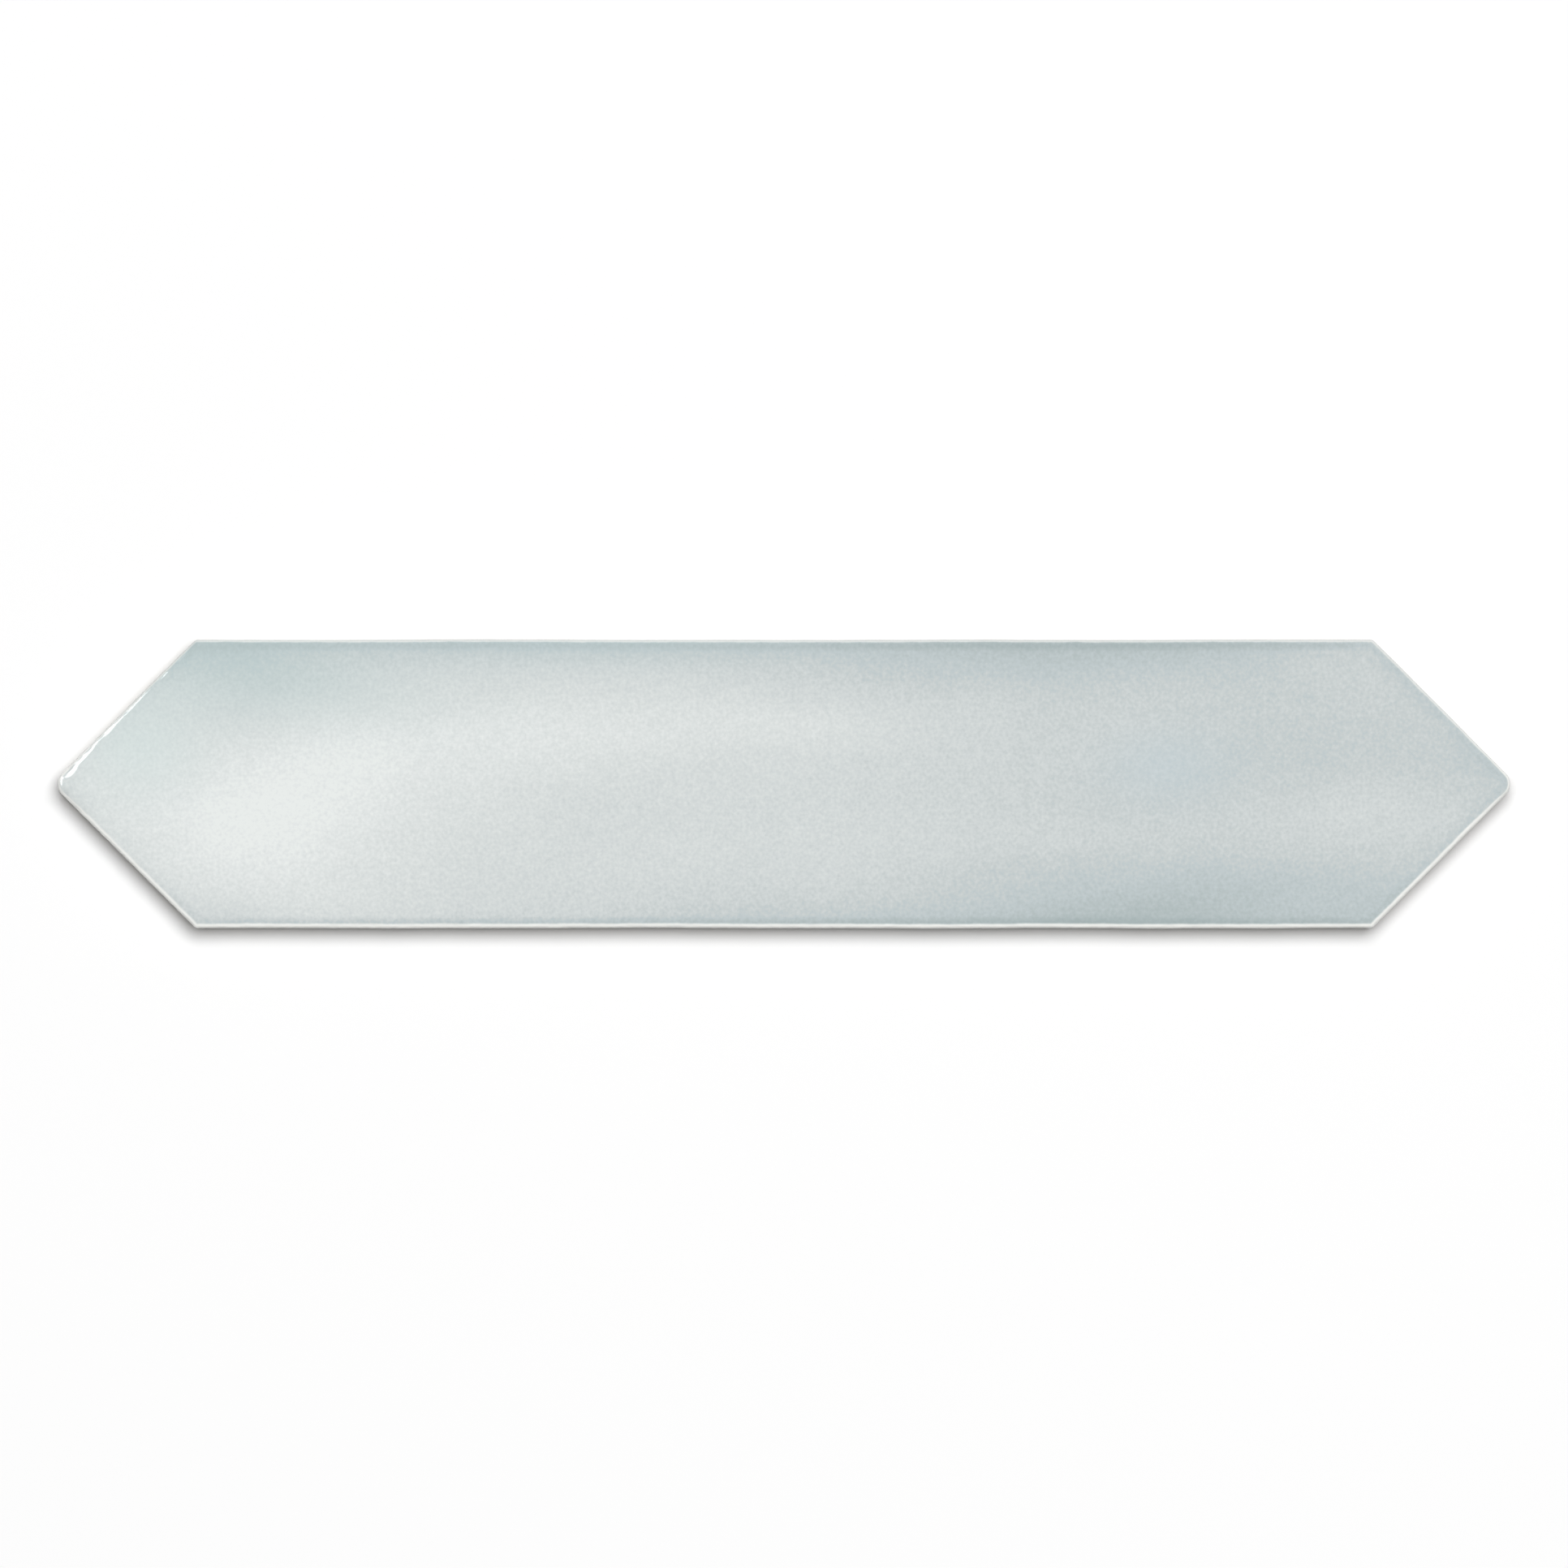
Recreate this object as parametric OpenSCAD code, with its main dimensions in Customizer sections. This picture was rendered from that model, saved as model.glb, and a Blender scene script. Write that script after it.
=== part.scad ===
// Wall tile with two pointed ends: a pressed clay body, fired with a glazed face.
// It lies on its back. X runs from point to point, Y across, Z up out of the face.
// Every edge of the tile is the edge of a rail, a long bar with the tile's own section.
// The tile is what all its rails share, so the section turns every corner unbroken.

/* [Outline] */
// Length from point to point, over the rounded points
tile_length = 330; // [200:5:400]
// Width across the two long edges
tile_width = 65.5; // [50:0.5:100]
// Angle between the two slanted edges at each point
point_angle = 90; // [70:2:120]
// Radius of the two points, seen from above
point_radius = 3.4; // [1:0.1:6]
// Radius of the four shoulders, where a slanted edge meets a long one
shoulder_radius = 1.2; // [0.5:0.1:6]

/* [Section] */
// Thickness from the back to the glazed face
tile_thickness = 9; // [7:0.5:14]
// Width of the cushioned rim, where the face rolls over into the wall
cushion_width = 1.4; // [0.8:0.1:4]
// Drop of the cushioned rim, from the face to the widest line of the tile
cushion_drop = 1.2; // [0.6:0.1:2.5]
// Lean of the wall, in degrees: the tile narrows from its widest line to its back
wall_draft = 2; // [0:0.5:5]
// Size of the bevel round the back
foot_bevel = 0.5; // [0.2:0.1:1]

/* [Keyed back] */
// Distance between the middles of two key grooves
key_pitch = 5.5; // [4:0.1:8]
// Width of a key groove at its mouth
key_mouth = 3.2; // [2:0.1:3.8]
// Width of a key groove at its floor
key_floor = 2.4; // [1:0.1:3.8]
// Depth of the key grooves
key_depth = 0.8; // [0.3:0.1:1.5]
// Width of the flat border round the key grooves, measured from the widest line
key_border = 5; // [3:0.5:10]

/* [Fineness] */
// Largest turn between two neighbouring flats of a rounding, in degrees
flat_turn = 10; // [5:1:30]

/* [Hidden] */
glaze_colour = [0.83, 0.86, 0.86];

half_point = point_angle / 2;
slant_turn = 90 - half_point;
point_centre = tile_length / 2 - point_radius;
slant_reach = point_centre * cos(slant_turn) + point_radius;
shoulder_y = tile_width / 2 - shoulder_radius;
shoulder_x = (slant_reach - shoulder_radius - shoulder_y * sin(slant_turn)) / cos(slant_turn);
widest_height = tile_thickness - cushion_drop;
draft_depth = (widest_height - foot_bevel) * tan(wall_draft);
rail_length = 2 * tile_length;
keys_each_side = floor((tile_width / 2 - key_border - key_mouth / 2) / key_pitch + 0.5);

// The way each rail faces, in degrees from X: round a point, then on past two shoulders.
// A rail has two edges that face opposite ways, so half a turn of rails is enough.
point_flats = 2 * ceil(slant_turn / flat_turn);
point_turns = [for (i = [0 : point_flats]) slant_turn * (2 * i / point_flats - 1)];
shoulder_flats = ceil(half_point / flat_turn);
shoulder_turns = [for (i = [1 : 2 * shoulder_flats - 1]) slant_turn + half_point * i / shoulder_flats];
rail_turns = concat(point_turns, shoulder_turns);
cushion_flats = ceil(90 / flat_turn);

// How far the tile reaches from its middle, facing that way: to a point or to a shoulder
function reach(turn) = max(
    point_centre * abs(cos(turn)) + point_radius,
    shoulder_x * abs(cos(turn)) + shoulder_y * abs(sin(turn)) + shoulder_radius
);

// One side of the section, from the back up over the cushioned rim to the face
function edge_points(half_width) = concat(
    [[half_width - draft_depth - foot_bevel, 0], [half_width - draft_depth, foot_bevel]],
    [
        for (i = [0 : cushion_flats])
            let (roll = 90 * i / cushion_flats)
            [
                half_width - cushion_width * (1 - cos(roll)),
                tile_thickness - cushion_drop * (1 - sin(roll))
            ]
    ]
);

function mirrored(points) = [for (i = [len(points) - 1 : -1 : 0]) [-points[i][0], points[i][1]]];

// The six corners of the outline, moved inwards and left sharp
function outline_points(inset) =
    let (
        point_x = (slant_reach - inset) / cos(slant_turn),
        side_y = tile_width / 2 - inset,
        side_x = point_x - side_y / tan(half_point)
    )
    [[point_x, 0], [side_x, side_y], [-side_x, side_y], [-point_x, 0], [-side_x, -side_y], [side_x, -side_y]];

// A bar with the tile's section, whose two edges face that way and the opposite way
module rail(turn) {
    edge = edge_points(reach(turn));
    rotate(turn + 90)
        rotate([90, 0, 90])
            linear_extrude(height = rail_length, center = true)
                polygon(concat(edge, mirrored(edge)));
}

module pressed_body() {
    intersection_for (turn = rail_turns) rail(turn);
}

// One long groove with sloping sides, which the mortar keys into
module key_groove() {
    rotate([90, 0, 90])
        linear_extrude(height = tile_length, center = true)
            polygon([
                [-key_mouth / 2, -key_depth],
                [-key_mouth / 2, 0],
                [-key_floor / 2, key_depth],
                [key_floor / 2, key_depth],
                [key_mouth / 2, 0],
                [key_mouth / 2, -key_depth]
            ]);
}

module key_grooves() {
    intersection() {
        for (side = [-1, 1], i = [0 : keys_each_side - 1])
            translate([0, side * (i + 0.5) * key_pitch, 0]) key_groove();
        linear_extrude(height = 4 * key_depth, center = true)
            polygon(outline_points(key_border));
    }
}

module tile() {
    color(glaze_colour)
        difference() {
            pressed_body();
            key_grooves();
        }
}

tile();
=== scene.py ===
import math

import bmesh
import bpy
import numpy as np
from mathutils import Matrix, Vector, noise


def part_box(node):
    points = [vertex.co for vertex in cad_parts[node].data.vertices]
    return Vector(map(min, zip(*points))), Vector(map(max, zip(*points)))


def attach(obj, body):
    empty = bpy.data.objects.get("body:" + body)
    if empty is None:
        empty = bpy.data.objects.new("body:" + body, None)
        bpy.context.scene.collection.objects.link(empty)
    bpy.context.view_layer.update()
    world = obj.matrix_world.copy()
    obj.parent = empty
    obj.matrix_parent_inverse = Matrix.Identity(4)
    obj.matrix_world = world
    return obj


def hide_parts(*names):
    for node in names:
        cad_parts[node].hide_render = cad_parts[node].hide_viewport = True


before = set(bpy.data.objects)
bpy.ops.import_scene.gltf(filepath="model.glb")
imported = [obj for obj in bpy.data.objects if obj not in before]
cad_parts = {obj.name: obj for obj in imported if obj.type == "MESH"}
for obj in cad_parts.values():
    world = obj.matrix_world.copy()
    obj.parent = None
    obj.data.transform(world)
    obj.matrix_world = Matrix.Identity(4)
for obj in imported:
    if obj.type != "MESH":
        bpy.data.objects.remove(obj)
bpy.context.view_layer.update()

mm = 0.001
tileLow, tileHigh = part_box("tile")
tileLength, tileWidth, tileThickness = ((high - low) / mm for low, high in zip(tileLow, tileHigh))

# The pressed and glazed tile, in millimetres and degrees
tile = {
    "slantTurn": 45,          # the way a slanted edge faces, measured from the length
    "pointRadius": 3.4,
    "shoulderRadius": 1.2,
    "cushionWidth": 1.4,      # the face rolls over into the wall across this rim
    "cushionDrop": 1.2,
    "rimFullness": 2.7,       # 2 rolls the rim in an ellipse, and more keeps it fuller
    "wallDraft": 2.0,
    "footBevel": 0.5,
    "edgeWander": 0.11,       # the fired outline isn't quite straight
    "wanderFade": 5,          # and its wander dies out about this far inside the edge
    "faceWaves": 0.05,
    "rimRipple": 0.095,       # the glaze lies unevenly over the rim
    "ripplePlace": 0.6,
    "rippleSpread": 0.6,
    "beadHeight": 0.045,      # surface tension heaps the glaze just inside the rim
    "beadPlace": 2.2,
    "beadSpread": 0.8,
    "tipWear": 0.5,           # the left point's edge is worn down by this, unevenly
    "tipSpread": 1.5,
    "tipReach": 6,
    "glazeLine": 4.3,         # height above the back where the glaze ends on the wall
    "glazeRun": 1.5,
    "glazeThickness": 0.2,
    "glazeLip": 0.12,         # the glaze starts to round off this far above its end
    "glazeRoll": ((0.04, 0.4), (0.0, 1.0)),    # height above its end, and the share of its thickness gone
    # Layers of noise in each form: the size of the bumps, their share and a seed
    "noise": {
        "outline": ((34, 0.7, 1.5), (9, 0.3, 4.5)),
        "face": ((27, 0.65, 2.5), (10, 0.35, 6.5)),
        "rim": ((3.2, 1, 5.5),),
        "bead": ((7, 0.5, 7.5),),
        "tip": ((2.8, 0.9, 3.5),),
        "glazeRuns": ((21, 0.7, 8.5), (5, 0.3, 9.5)),
    },
    # How fine the visual mesh is
    "spacing": 0.85,          # from one point of the mesh to the next
    "pointSteps": 12,
    "shoulderSteps": 6,
    "rimSteps": 14,
    "wallShares": (0.3, 0.6, 0.85, 1.0),       # where the rings lie on the glazed wall, from its top
    "footShares": (0.15, 0.5, 1.0),            # and on the bare wall below it
    "middleGap": 0.6,         # the rings of the face end this far from its middle line
    "leastRadius": 0.3,       # no corner of the mesh is sharper
    "sharpAngle": 30,
}


def ripple(x, y, size, seed):
    # Smooth noise between about -1 and 1, with bumps about that many millimetres across
    rise = 1.6                # because plain noise stays within about 0.6
    return np.array([noise.noise(Vector((a / size, b / size, seed))) for a, b in zip(x, y)]) * rise


def unevenness(form, x, y):
    # All the layers of noise of one form of the tile
    return sum(share * ripple(x, y, size, seed) for size, share, seed in tile["noise"][form])


def bell(distance, spread):
    return np.exp(-(distance / spread) ** 2)


def slantReach():
    # From the tile's middle to a slanted edge
    turn = math.radians(tile["slantTurn"])
    return (tileLength / 2 - tile["pointRadius"]) * math.cos(turn) + tile["pointRadius"]


def quarterSamples():
    # Round a quarter of the outline, from the point to the middle of a long edge. Each sample holds the
    # shares of the point's centre and of the shoulder's x and y that place it, and the way the edge faces.
    turn, pointSteps, shoulderSteps = tile["slantTurn"], tile["pointSteps"], tile["shoulderSteps"]
    slantSteps = round(tileWidth / 2 / math.sin(math.radians(turn)) / tile["spacing"])
    longSteps = round((tileLength - tileWidth) / 2 / tile["spacing"])
    rows = [(1, 0, 0, turn * i / pointSteps) for i in range(pointSteps)]
    rows += [(1 - i / slantSteps, i / slantSteps, i / slantSteps, turn) for i in range(slantSteps)]
    rows += [(0, 1, 1, turn + (90 - turn) * i / shoulderSteps) for i in range(shoulderSteps)]
    rows += [(0, 1 - i / longSteps, 1, 90) for i in range(longSteps + 1)]
    return np.array(rows).T


def goRound(values, mirrorX, mirrorY):
    # Lays a quarter's values out round all four quarters, anticlockwise seen from above
    there, back = values[:-1], values[:0:-1]
    return np.concatenate([there, mirrorX * back, mirrorX * mirrorY * there, mirrorY * back])


def outlineAt(inset, samples):
    # The tile's outline moved inwards, one point for each sample
    pointShare, shoulderShareX, shoulderShareY, facing = samples
    turn = math.radians(tile["slantTurn"])
    reach = slantReach() - inset
    pointRadius = max(tile["pointRadius"] - inset, tile["leastRadius"])
    shoulderRadius = max(tile["shoulderRadius"] - inset, tile["leastRadius"])
    pointX = (reach - pointRadius) / math.cos(turn)
    shoulderY = tileWidth / 2 - inset - shoulderRadius
    shoulderX = (reach - shoulderRadius - shoulderY * math.sin(turn)) / math.cos(turn)
    radius = pointShare * pointRadius + shoulderShareY * shoulderRadius
    angle = np.radians(facing)
    x = pointShare * pointX + shoulderShareX * shoulderX + radius * np.cos(angle)
    y = shoulderShareY * shoulderY + radius * np.sin(angle)
    return goRound(x, -1, 1), goRound(y, 1, -1)


def sectionRings(glazeEnds):
    # Inset, height and zone of each ring, from the middle of the face over the rim and down to the back
    width, drop, thick = tile["cushionWidth"], tile["cushionDrop"], tile["glazeThickness"]
    draft = math.tan(math.radians(tile["wallDraft"]))
    widest = tileThickness - drop
    bevel = tile["footBevel"]
    level = np.ones(len(glazeEnds))
    innermost = tileWidth / 2 - tile["middleGap"]
    faceSteps = round((tileWidth / 2 - width) / tile["spacing"])
    section = [(inset, tileThickness) for inset in np.linspace(innermost, width, faceSteps)]
    for i in range(1, tile["rimSteps"] + 1):
        roll = math.pi / 2 * (1 - i / tile["rimSteps"])
        across, up = (part ** (2 / tile["rimFullness"]) for part in (math.cos(roll), math.sin(roll)))
        section.append((width * (1 - across), tileThickness - drop * (1 - up)))
    rings = [(inset * level, height * level, "top") for inset, height in section]
    for share in tile["wallShares"]:
        height = widest + (glazeEnds + tile["glazeLip"] - widest) * share
        rings.append(((widest - height) * draft, height, "glazedWall"))
    for above, gone in tile["glazeRoll"]:
        height = glazeEnds + above
        rings.append(((widest - height) * draft + gone * thick, height, "glazedWall"))
    for share in tile["footShares"]:
        height = glazeEnds + (bevel - glazeEnds) * share
        rings.append(((widest - height) * draft + thick, height, "clayWall"))
    rings.append((((widest - bevel) * draft + bevel + thick) * level, 0 * level, "clayWall"))
    return rings


def glazedHeight(x, y, inset, height):
    # The face and the rim, as the glaze froze over them
    flatness = 1 - np.clip((tileThickness - height) / tile["cushionDrop"], 0, 1)
    waves = tile["faceWaves"] * unevenness("face", x, y)
    bead = tile["beadHeight"] * bell(inset - tile["beadPlace"], tile["beadSpread"])
    bead = bead * (1 + unevenness("bead", x, y))
    fold = tile["rimRipple"] * bell(inset - tile["ripplePlace"], tile["rippleSpread"])
    fold = fold * unevenness("rim", x, y)
    worn = tile["tipWear"] * bell(inset, tile["tipSpread"]) * bell(x + tileLength / 2, tile["tipReach"])
    worn = worn * (1 + unevenness("tip", x, y))
    return height + flatness * (waves + bead - worn) + np.sqrt(flatness) * fold


def ringPlaces(samples):
    # The points of every ring, their insets, and how many of the rings are glazed
    x0, y0 = outlineAt(0, samples)
    turn = np.radians(samples[3])
    outX, outY = goRound(np.cos(turn), -1, 1), goRound(np.sin(turn), 1, -1)
    wander = tile["edgeWander"] * unevenness("outline", x0, y0)
    rings = sectionRings(tile["glazeLine"] + tile["glazeRun"] * unevenness("glazeRuns", x0, y0))
    points, insets = [], []
    for inset, height, zone in rings:
        if zone == "top":
            x, y = outlineAt(float(inset[0]), samples)
            height = glazedHeight(x, y, inset, height)
        else:
            x, y = x0 - outX * inset, y0 - outY * inset
        shift = wander * np.exp(-inset / tile["wanderFade"])
        points.append(np.stack([x + outX * shift, y + outY * shift, height], axis=1))
        insets.append(inset if zone == "top" else 0 * inset)
    glazed = sum(zone != "clayWall" for inset, height, zone in rings)
    return points, np.concatenate(insets), glazed


def ringFaces(ringCount, count):
    # Quads from ring to ring, then across the middle of the face
    around = np.arange(count)
    after = (around + 1) % count
    faces = []
    for low in range(ringCount - 1):
        a, b = low * count, (low + 1) * count
        faces += np.stack([a + around, b + around, b + after, a + after], axis=1).tolist()
    facing = [(count - i) % count for i in range(count)]     # the sample straight across the width
    faces += [[i, i + 1, facing[i + 1], facing[i]] for i in range(1, count // 2 - 1)]
    return faces + [[0, 1, facing[1]], [count // 2 - 1, count // 2, count // 2 + 1]]


# The grooves of the back that the mortar keys into, in millimetres
keys = {
    "pitch": 5.5,
    "mouth": 3.2,
    "floor": 2.4,
    "depth": 0.8,
    "border": 5.0,
    "lip": ((0.16, 0), (0.05, 0.04), (0, 0.14)),    # the rounded mouth: how far past it, and how deep
    "side": ((0.85, 0.85), (1, 0.97)),              # shares of the side's lean and of the depth
    "fillet": 0.12,           # rounds the side off into the floor
    "wander": 0.07,
    "wanderSize": 6,
    "steps": 64,
}


def keyGroove(form, middle):
    # One groove, from its mouth to its floor. The mouth's two long sides come back, from right to left.
    turn = math.radians(tile["slantTurn"])
    depth, steps, size = keys["depth"], keys["steps"], keys["wanderSize"]
    lean = (keys["mouth"] - keys["floor"]) / 2
    profile = [*keys["lip"], *((-lean * over, depth * down) for over, down in keys["side"])]
    profile.append((-lean - keys["fillet"], depth))
    rings = []
    for spread, height in profile:
        ring = []
        for side in (-1, 1):
            y = middle + side * (keys["mouth"] / 2 + spread)
            end = (slantReach() - keys["border"] + spread - abs(y) * math.sin(turn)) / math.cos(turn)
            for i in range(steps + 1):
                x = side * end * (2 * i / steps - 1)
                wander = keys["wander"] * noise.noise(Vector((x / size, y / size, 3.0)))
                ring.append(form.verts.new((x, y + side * wander, height)))
        rings.append(ring)
    for upper, lower in zip(rings, rings[1:]):
        for i in range(len(upper)):
            j = (i + 1) % len(upper)
            form.faces.new((upper[i], upper[j], lower[j], lower[i]))
    form.faces.new(rings[-1])
    mouth = rings[0]
    return mouth[: steps + 1], mouth[:steps:-1]


def stitch(form, outer, inner):
    # Triangles between two loops that run the same way, always across the shorter gap
    i, j = 0, 0
    while i + j < len(outer) + len(inner):
        a, b = outer[i % len(outer)], inner[j % len(inner)]
        nextA, nextB = outer[(i + 1) % len(outer)], inner[(j + 1) % len(inner)]
        shorter = (nextA.co - b.co).length < (nextB.co - a.co).length
        if j == len(inner) or (shorter and i < len(outer)):
            form.faces.new((a, nextA, b))
            i += 1
        else:
            form.faces.new((a, nextB, b))
            j += 1


def keyBack(form, border):
    # The back: the grooves, the lands between them and the flat border round them all
    half = tileWidth / 2 - keys["border"] - keys["mouth"] / 2
    eachSide = math.floor(half / keys["pitch"] + 0.5)
    grooves = [keyGroove(form, (place + 0.5) * keys["pitch"]) for place in range(-eachSide, eachSide)]
    for (low, high), (nextLow, nextHigh) in zip(grooves, grooves[1:]):
        for i in range(keys["steps"]):
            form.faces.new((high[i], high[i + 1], nextLow[i + 1], nextLow[i]))
    rightEnds, leftEnds = ([side[end] for groove in grooves for side in groove] for end in (0, -1))
    first, last = grooves[0][0], grooves[-1][1]
    loop = rightEnds[2 * eachSide:] + last[1:-1] + leftEnds[::-1] + first[-2:0:-1] + rightEnds[:2 * eachSide]
    stitch(form, border, loop)


def pressTile():
    points, insets, glazed = ringPlaces(quarterSamples())
    count = len(points[0])
    verts = np.concatenate(points)
    mesh = bpy.data.meshes.new("glazed_tile")
    mesh.from_pydata(verts.tolist(), [], ringFaces(len(points), count))

    form = bmesh.new()
    form.from_mesh(mesh)
    form.verts.ensure_lookup_table()
    keyBack(form, form.verts[len(verts) - count:])
    bmesh.ops.recalc_face_normals(form, faces=form.faces[:])
    bmesh.ops.scale(form, vec=(mm, mm, mm), verts=form.verts[:])
    form.to_mesh(mesh)
    form.free()

    # Each point's distance from the edge, for the finish of the rim
    marks = np.zeros(len(mesh.vertices), dtype=np.float32)
    marks[: len(verts)] = insets
    mesh.attributes.new("edge", "FLOAT", "POINT").data.foreach_set("value", marks)
    mesh.materials.append(glazeFinish())
    mesh.materials.append(clayFinish())
    for face in mesh.polygons:
        face.material_index = int(max(face.vertices) >= glazed * count)
    mesh.shade_smooth()
    mesh.set_sharp_from_angle(angle=math.radians(tile["sharpAngle"]))
    piece = bpy.data.objects.new("glazed_tile", mesh)
    bpy.context.scene.collection.objects.link(piece)
    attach(piece, "root")
    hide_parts("tile")
    print("tile pressed:", len(mesh.vertices), "points,", len(mesh.polygons), "faces")


class Wire:
    # One socket of a finish. Sums and products of wires and numbers add their own nodes.
    def __init__(self, tree, socket=None):
        self.tree, self.socket = tree, socket

    def node(self, kind, settings=(), inputs=(), out=0):
        made = self.tree.nodes.new(kind)
        for name, value in dict(settings).items():
            if name == "stops":
                fillRamp(made.color_ramp.elements, value)
            else:
                setattr(made, name, value)
        for name, value in dict(inputs).items():
            if isinstance(value, Wire):
                self.tree.links.new(value.socket, made.inputs[name])
            else:
                made.inputs[name].default_value = value
        return Wire(self.tree, made.outputs[out]) if made.outputs else None

    def maths(self, operation, *values):
        return self.node("ShaderNodeMath", {"operation": operation}, dict(enumerate(values)))

    def __add__(self, other):
        return self.maths("ADD", self, other)

    def __sub__(self, other):
        return self.maths("SUBTRACT", self, other)

    def __rsub__(self, other):
        return self.maths("SUBTRACT", other, self)

    def __mul__(self, other):
        return self.maths("MULTIPLY", self, other)

    def __truediv__(self, other):
        return self.maths("DIVIDE", self, other)

    def __rtruediv__(self, other):
        return self.maths("DIVIDE", other, self)

    def __neg__(self):
        return self.maths("MULTIPLY", self, -1)

    __radd__ = __add__
    __rmul__ = __mul__

    def rise(self, low, high):
        # 0 below low, 1 above high, and a soft step between them
        limits = {"Value": self, "From Min": low, "From Max": high}
        return self.node("ShaderNodeMapRange", {"interpolation_type": "SMOOTHSTEP"}, limits)

    def ramp(self, stops):
        # The colours of these stops, by this value
        return self.node("ShaderNodeValToRGB", {"stops": stops}, {0: self})

    def tint(self, tone, share):
        # This colour with that share of another one mixed in
        inputs = {0: share, 6: self, 7: colour(*tone)}
        return self.node("ShaderNodeMix", {"data_type": "RGBA"}, inputs, out=2)


def colour(*parts):
    # A pale colour as a picture shows it, 0 to 255, in the linear values that a shader takes
    return [((part / 255 + 0.055) / 1.055) ** 2.4 for part in parts] + [1.0]


def fillRamp(elements, stops):
    while len(elements) < len(stops):
        elements.new(0.5)
    for element, (place, tone) in zip(elements, stops):
        element.position = place
        element.color = colour(*tone)


def newFinish(name):
    # An empty material, and a bench to lay its nodes out on
    material = bpy.data.materials.new(name)
    material.use_nodes = True
    material.node_tree.nodes.clear()
    return material, Wire(material.node_tree)


def closeFinish(bench, finish, shade, roughness, relief):
    # The fine relief, the shader and the output that end every finish of the tile
    depth = finish["reliefDepth"] * mm
    grain = {"Strength": finish["reliefStrength"], "Distance": depth, "Height": relief}
    bump = bench.node("ShaderNodeBump", inputs=grain)
    surface = {"Base Color": shade, "Roughness": roughness, "IOR": finish["ior"], "Normal": bump}
    shader = bench.node("ShaderNodeBsdfPrincipled", inputs=surface)
    bench.node("ShaderNodeOutputMaterial", inputs={"Surface": shader})


def millimetres(bench):
    # The place on the tile, in millimetres
    seat = bench.node("ShaderNodeTexCoord", out="Object")
    return bench.node("ShaderNodeVectorMath", {"operation": "SCALE"}, {0: seat, "Scale": 1 / mm})


def clouds(bench, place, size, stretch=(1, 1, 1), detail=2.0):
    # Noise round 0, about -0.5 to 0.5, with its patches about that many millimetres across
    shares = [share / size for share in stretch]
    laid = bench.node("ShaderNodeVectorMath", {"operation": "MULTIPLY"}, {0: place, 1: shares})
    return bench.node("ShaderNodeTexNoise", inputs={"Vector": laid, "Scale": 1.0, "Detail": detail}) - 0.5


def patch(x, y, middle, halfSize, lean):
    # A soft oval: 1 in its middle and nearly 0 past its half sizes
    turn = math.radians(lean)
    dx, dy = x - middle[0], y - middle[1]
    along = (dx * math.cos(turn) + dy * math.sin(turn)) / halfSize[0]
    across = (dy * math.cos(turn) - dx * math.sin(turn)) / halfSize[1]
    return x.maths("EXPONENT", -(along * along + across * across))


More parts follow.
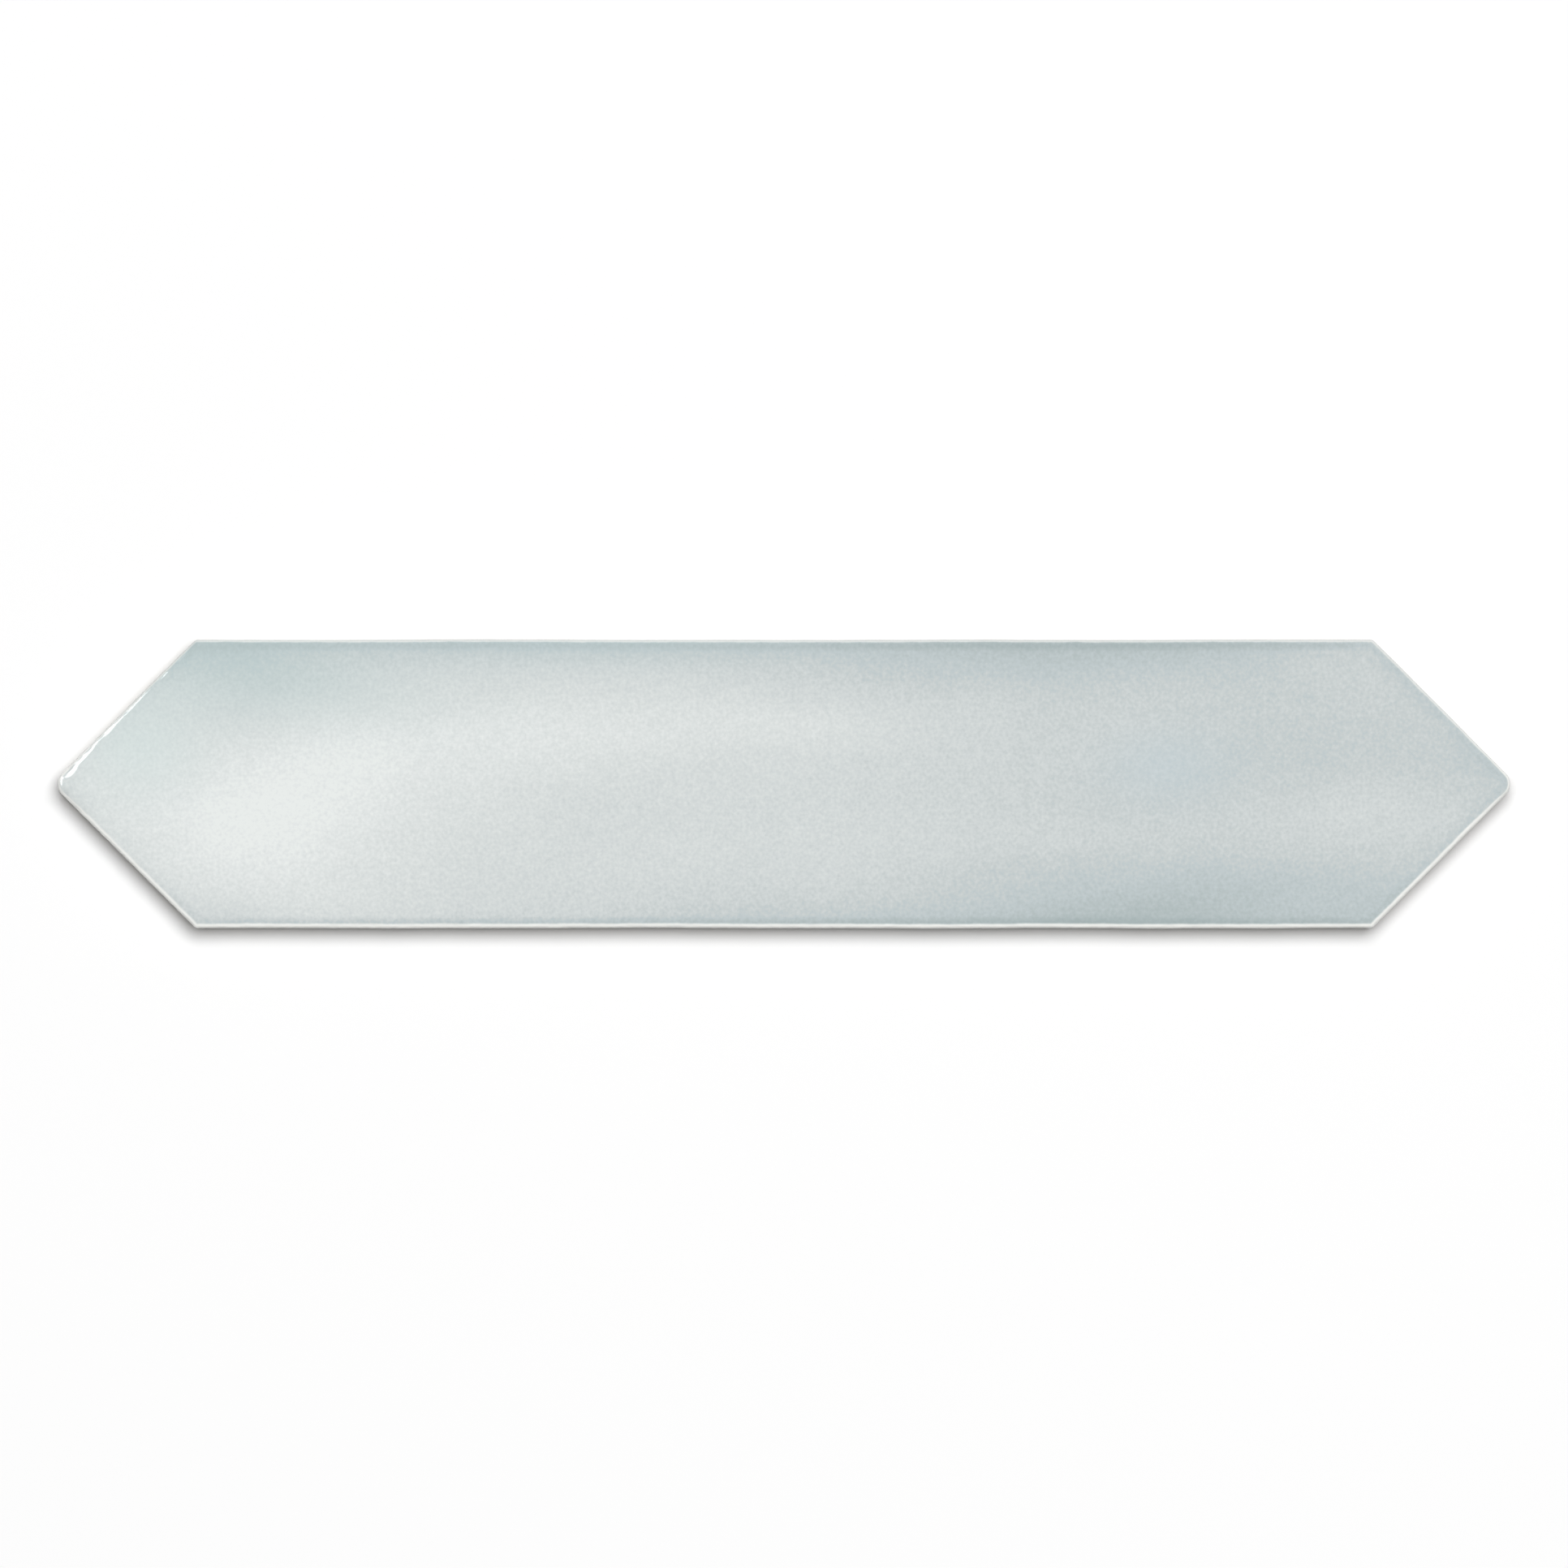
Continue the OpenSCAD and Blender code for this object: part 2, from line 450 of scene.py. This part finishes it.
# The glaze, in millimetres. Tones run from 0, where it lies deep and dark, to 1, thin and nearly white.
glaze = {
    "tones": (
        (0.00, (170, 183, 184)), (0.25, (184, 195, 196)), (0.42, (195, 205, 207)), (0.50, (202, 209, 209)),
        (0.60, (210, 216, 216)), (0.75, (220, 225, 224)), (0.92, (231, 235, 234)), (1.00, (236, 240, 238)),
    ),
    "middleTone": 0.62,
    "endFall": 0.07,           # the tone falls by this towards the right point
    # Soft patches: middle, half sizes, lean in degrees, and what they add to the tone
    "patches": {
        "pale tip": ((-156, -3), (14, 18), 0, 0.06),
        "bright pool": ((-121, -8), (25, 14), 8, 0.28),
        "bright foot": ((-108, -24), (27, 12), 0, 0.12),
        "long streak": ((-62, 11), (62, 10), 4, 0.17),
        "streak's end": ((12, 12), (26, 7), 0, 0.05),
        "milky middle": ((-62, -5), (62, 15), 0, 0.12),
        "deep shoulder": ((-131, 30), (27, 9), -8, -0.27),
        "deep upper run": ((-62, 33), (55, 6), 0, -0.16),
        "deep upper edge": ((60, 32), (62, 10), 0, -0.30),
        "pale upper corner": ((124, 31), (16, 9), 0, 0.10),
        "deep lower end": ((92, -27), (40, 10), 6, -0.27),
        "deep lower edge": ((42, -32), (66, 8), 0, -0.20),
        "deep lower run": ((60, -19), (34, 6), 2, -0.09),
        "deep lower tip": ((134, -27), (14, 9), 0, -0.11),
        "deep lower corner": ((-127, -30), (12, 6), 0, -0.06),
        "pool's shore": ((-97, 8), (15, 16), 0, 0.08),
        "deep middle": ((-41, -6), (24, 8), 0, -0.06),
        "deep right middle": ((78, -1), (26, 8), 0, -0.05),
        "upper glow": ((-6, 14), (36, 10), 0, 0.05),
        "grey end": ((118, 6), (34, 14), 0, -0.11),
        "grey tip": ((152, 5), (14, 10), 0, -0.06),
        "pale end": ((132, -5), (24, 7), -3, 0.07),
    },
    # Stains: colour, middle, half sizes, lean and share
    "stains": {
        "blue spot": ((196, 211, 217), (87, 4), (14, 8), 0, 0.4),
        "teal shoulder": ((188, 211, 210), (-124, 25), (40, 11), -6, 0.35),
        "teal upper edge": ((190, 209, 211), (-48, 32), (50, 6), 0, 0.3),
        "teal tip": ((212, 229, 227), (-147, 9), (15, 12), 0, 0.4),
    },
    # Noise in the tone: size, stretch, detail and strength
    "clouds": (
        (38, (0.45, 1, 1), 2.0, 0.16),
        (9, (0.7, 1, 1), 3.0, 0.08),
        (3, (0.8, 1, 1), 2.0, 0.08),
        (0.8, (1, 1, 1), 1.5, 0.42),
    ),
    "driftCloud": (26, (0.5, 1, 1)),    # slow noise that shifts the patches
    "drift": (14, 7),          # how far, along and across
    "rim": (254, 255, 251),    # the rim, where the glaze drew thin over the body, and painted light where it is widened along the lower edges
    "rimWidth": 0.5,
    "lowerRimPaintedLightWidth": 0.95,     # along the lower edges, widened there as painted light where the rim faces away from the lamp
    "rimSoftness": 0.3,        # share of its width over which its inner edge fades
    "rimCloud": (4, 0.3),      # noise that frays that edge: size and strength
    "rimFoot": (1.1, 0.3),     # the rim fades out between these depths below the tile's widest line
    "upperRimPaintedShade": 0.4,           # how much the rim of the upper edges is toned down, painted shade where it faces the lamp
    "paintedLightSide": (-8, 2),      # where across the tile the lower rim's painted light gives way
    "paintedShadeSide": (-8, 24),     # and the upper rim's painted shade comes in
    "pool": 0.2,               # how much deeper the glaze lies in a line just inside the rim
    "poolShore": 0.4,
    "poolFades": (1.4, 3.0),
    "poolLeft": (-152, -118),  # the line comes in past the left point
    "poolRight": (122, 140),   # and loses most of its depth towards the right one
    "poolRightLoss": 0.7,
    "shore": 0.05,             # a wider, fainter deepening towards the edge
    "shoreFades": (1.0, 7.0),
    "wallTone": 0.1,
    "roughness": 0.1,
    "rimRoughness": 0.08,
    "ior": 1.5,
    "waveSize": 2.9,
    "rimWaveSize": 1.6,
    "rimWaves": 8,             # how much stronger the waves on the rim are
    "reliefStrength": 0.12,
    "reliefDepth": 0.2,
}


def glazeFinish():
    material, bench = newFinish("glaze")
    place = millimetres(bench)
    x, y, z = (bench.node("ShaderNodeSeparateXYZ", inputs={0: place}, out=i) for i in range(3))
    edge = bench.node("ShaderNodeAttribute", {"attribute_name": "edge"}, out="Fac")

    tone = glaze["middleTone"] - x * (glaze["endFall"] * 2 / tileLength)
    drift = clouds(bench, place, *glaze["driftCloud"])
    driftX, driftY = x + drift * glaze["drift"][0], y + drift * glaze["drift"][1]
    for middle, halfSize, lean, added in glaze["patches"].values():
        tone = tone + patch(driftX, driftY, middle, halfSize, lean) * added
    for size, stretch, detail, strength in glaze["clouds"]:
        tone = tone + clouds(bench, place, size, stretch, detail) * strength

    # The rim is thin and pale, and the glaze that drew off it lies deep in a line along it
    widest = tileThickness - tile["cushionDrop"]
    onFace = z.rise(*(widest - depth for depth in glaze["rimFoot"]))
    fraySize, fray = glaze["rimCloud"]
    frayed = edge + clouds(bench, place, fraySize) * fray
    # The lower rim is painted wider and whiter, painted light where it faces away from the overhead lamp,
    # and the upper rim is toned down, painted shade where it faces that lamp
    lower, upper = 1 - y.rise(*glaze["paintedLightSide"]), y.rise(*glaze["paintedShadeSide"])
    rimWidth = lower * (glaze["lowerRimPaintedLightWidth"] - glaze["rimWidth"]) + glaze["rimWidth"]
    soft = glaze["rimSoftness"]
    rim = (1 - frayed.rise(rimWidth * (1 - soft), rimWidth * (1 + soft))) * onFace
    pool = frayed.rise(rimWidth, rimWidth + glaze["poolShore"]) * (1 - edge.rise(*glaze["poolFades"]))
    pool = pool * x.rise(*glaze["poolLeft"]) * (1 - glaze["poolRightLoss"] * x.rise(*glaze["poolRight"]))
    tone = tone - pool * glaze["pool"] - (1 - edge.rise(*glaze["shoreFades"])) * glaze["shore"]
    tone = tone + (1 - onFace) * glaze["wallTone"]

    shade = tone.ramp(glaze["tones"])
    for stain, middle, halfSize, lean, share in glaze["stains"].values():
        shade = shade.tint(stain, patch(x, y, middle, halfSize, lean) * share)
    # Along the upper edges the rim gets less of its white: painted shade where the rim faces the lamp
    shade = shade.tint(glaze["rim"], rim * (1 - upper * glaze["upperRimPaintedShade"]))

    waves = clouds(bench, place, glaze["waveSize"], detail=1.0)
    rimWaves = glaze["rimWaves"] * rim * clouds(bench, place, glaze["rimWaveSize"], detail=1.0)
    closeFinish(bench, glaze, shade, rim * glaze["rimRoughness"] + glaze["roughness"], waves + rimWaves)
    return material


# The fired clay that shows below the glaze and on the back, in millimetres
clay = {
    "body": (229, 221, 203),
    "worn": (240, 235, 222),
    "speck": (196, 178, 148),
    "dustCloud": (14, (0.5, 1, 1), 4.0),     # size, stretch and detail
    "dustRange": (-0.1, 0.2),
    "speckSize": 0.8,
    "speckRange": (0.17, 0.26),
    "specks": 0.5,
    "roughness": 0.85,
    "ior": 1.5,
    "grainSize": 0.4,
    "reliefStrength": 0.5,
    "reliefDepth": 0.1,
}


def clayFinish():
    material, bench = newFinish("fired_clay")
    place = millimetres(bench)
    dust = clouds(bench, place, *clay["dustCloud"]).rise(*clay["dustRange"])
    specks = clouds(bench, place, clay["speckSize"], detail=3.0).rise(*clay["speckRange"])
    shade = dust.ramp(((0, clay["body"]), (1, clay["worn"])))
    shade = shade.tint(clay["speck"], specks * clay["specks"])
    grain = clouds(bench, place, clay["grainSize"], detail=4.0)
    closeFinish(bench, clay, shade, clay["roughness"], grain)
    return material


# The table, the lamps and the camera. Levels are parts of the light that shows a white sheet as white.
studio = {
    "floorSize": 4.0,
    "floorGap": 0.0001,         # between the table and the tile's back
    "floorLit": 0.45,           # how much light the floor throws back on the tile
    "skyLevel": 0.05,
    # Name, the x it hangs over, azimuth from +X, height above the horizon, distance, sizes, level and use.
    # The lights fall on things, and the glints are only mirrored.
    "boxes": (
        ("overhead_box", 0, 68, 77.5, 8.0, 4.6, 4.6, 0.95, "lights"),
        ("glint_box", -0.16, 151, 53, 0.16, 0.097, 0.084, 0.8, "glints"),
    ),
    "lens": 600,
    "sensor": 36,
    "tileShare": 949 / 1024,    # of the picture's width
}


def seenDirectly(bench):
    # 1 for what the camera sees, itself or in one mirror or glass, and 0 for the light that falls on things
    camera, gloss, glass, depth = (
        bench.node("ShaderNodeLightPath", out=out)
        for out in ("Is Camera Ray", "Is Glossy Ray", "Is Transmission Ray", "Ray Depth")
    )
    mirrored = bench.maths("MAXIMUM", gloss, glass) * bench.maths("LESS_THAN", depth, 1.5)
    return bench.maths("MAXIMUM", camera, mirrored)


def layFloor():
    half = studio["floorSize"] / 2
    mesh = bpy.data.meshes.new("table")
    corners = [(-half, -half, 0), (half, -half, 0), (half, half, 0), (-half, half, 0)]
    mesh.from_pydata(corners, [], [(0, 1, 2, 3)])
    material, bench = newFinish("table_white")
    level = seenDirectly(bench) * (1 - studio["floorLit"]) + studio["floorLit"]
    white = bench.node("ShaderNodeCombineColor", inputs={0: level, 1: level, 2: level})
    shader = bench.node("ShaderNodeBsdfDiffuse", inputs={"Color": white})
    bench.node("ShaderNodeOutputMaterial", inputs={"Surface": shader})
    mesh.materials.append(material)
    floor = bpy.data.objects.new("table", mesh)
    floor.location.z = -studio["floorGap"]
    bpy.context.scene.collection.objects.link(floor)


def lightStudio():
    world = bpy.data.worlds.new("studio")
    bpy.context.scene.world = world
    world.use_nodes = True
    world.node_tree.nodes.clear()
    bench = Wire(world.node_tree)
    strength = seenDirectly(bench) * (1 - studio["skyLevel"]) + studio["skyLevel"]
    sky = bench.node("ShaderNodeBackground", inputs={"Color": (1, 1, 1, 1), "Strength": strength})
    bench.node("ShaderNodeOutputWorld", inputs={"Surface": sky})
    for name, aim, azimuth, height, distance, wide, deep, level, use in studio["boxes"]:
        turn, lift = math.radians(azimuth), math.radians(height)
        back = Vector((math.cos(turn) * math.cos(lift), math.sin(turn) * math.cos(lift), math.sin(lift)))
        lamp = bpy.data.lights.new(name, "AREA")
        lamp.shape, lamp.size, lamp.size_y = "RECTANGLE", wide, deep
        # The power that lights a level sheet to that level, also from a box that is large or near
        lamp.energy = level * math.pi * (math.pi * distance ** 2 + wide * deep) / math.sin(lift)
        box = bpy.data.objects.new(name, lamp)
        box.location = Vector((aim, 0, 0)) + back * distance
        box.rotation_mode = "QUATERNION"
        box.rotation_quaternion = back.to_track_quat("Z", "Y")
        box.visible_diffuse = use == "lights"
        box.visible_glossy = use == "glints"
        box.visible_camera = False
        bpy.context.scene.collection.objects.link(box)


def placeCamera():
    # Straight above the tile, and far enough off to show nearly none of its walls
    lens = bpy.data.cameras.new("camera")
    lens.lens, lens.sensor_width = studio["lens"], studio["sensor"]
    frameWidth = tileLength * mm / studio["tileShare"]
    camera = bpy.data.objects.new("camera", lens)
    camera.location = (0, 0, tileHigh[2] + frameWidth * studio["lens"] / studio["sensor"])
    bpy.context.scene.collection.objects.link(camera)
    bpy.context.scene.camera = camera


bpy.context.scene.view_settings.view_transform = "Standard"
placeCamera()
layFloor()
lightStudio()
print("table, lamps and camera set")
pressTile()
